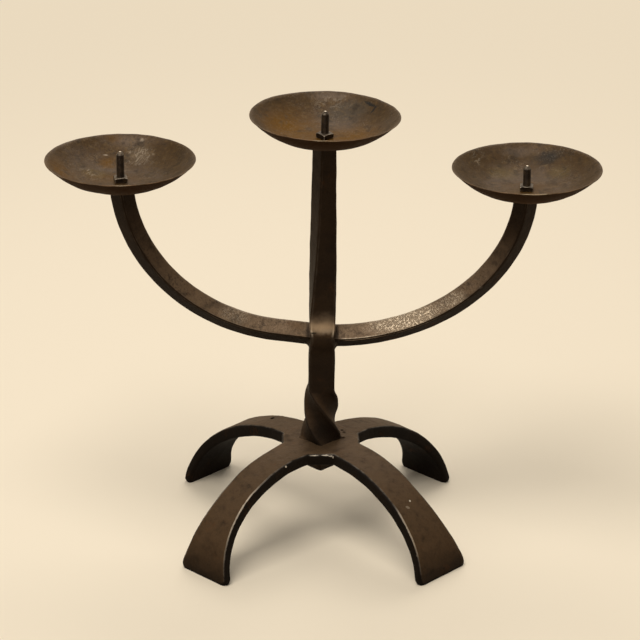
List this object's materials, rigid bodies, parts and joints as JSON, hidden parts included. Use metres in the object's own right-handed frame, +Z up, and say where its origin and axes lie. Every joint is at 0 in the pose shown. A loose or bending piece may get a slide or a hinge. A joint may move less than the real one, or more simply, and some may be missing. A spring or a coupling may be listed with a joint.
{
  "type": "candle holder",
  "caption": "Forged iron table candle holder: twisted square stem on spread legs, a square bar bent to a U through the stem, and a dished drip pan with a spike for each candle.",
  "frame": {"origin": "on the table, under the stem's axis", "axes": "+Z up along the stem, +X along the arms to the right as seen from the front, -Y to the front"},
  "size_m": [0.3879, 0.1975, 0.3176],
  "materials": {
    "forged_foot": "blackened and waxed forged iron, worn bright along the edges",
    "forged_bar": "blackened and waxed forged iron with hammer marks",
    "hammered_sheet": "hammered sheet, blackened, mottled olive brown with rust and scuffs",
    "weld": "blackened weld bead",
    "threaded_steel": "darkened threaded steel, bare and bright on the crests and the point"
  },
  "bodies": {
    "root": {"foot_cross": "forged_foot", "stem": "forged_bar", "arm_bar": "forged_bar", "arm_weld_left": "weld", "arm_weld_right": "weld", "foot_weld": "weld", "drip_pan_left": "hammered_sheet", "spike_left": "threaded_steel", "pan_nut_left": "threaded_steel", "drip_pan_centre": "hammered_sheet", "spike_centre": "threaded_steel", "pan_nut_centre": "threaded_steel", "drip_pan_right": "hammered_sheet", "spike_right": "threaded_steel", "pan_nut_right": "threaded_steel"}
  },
  "joints": []
}
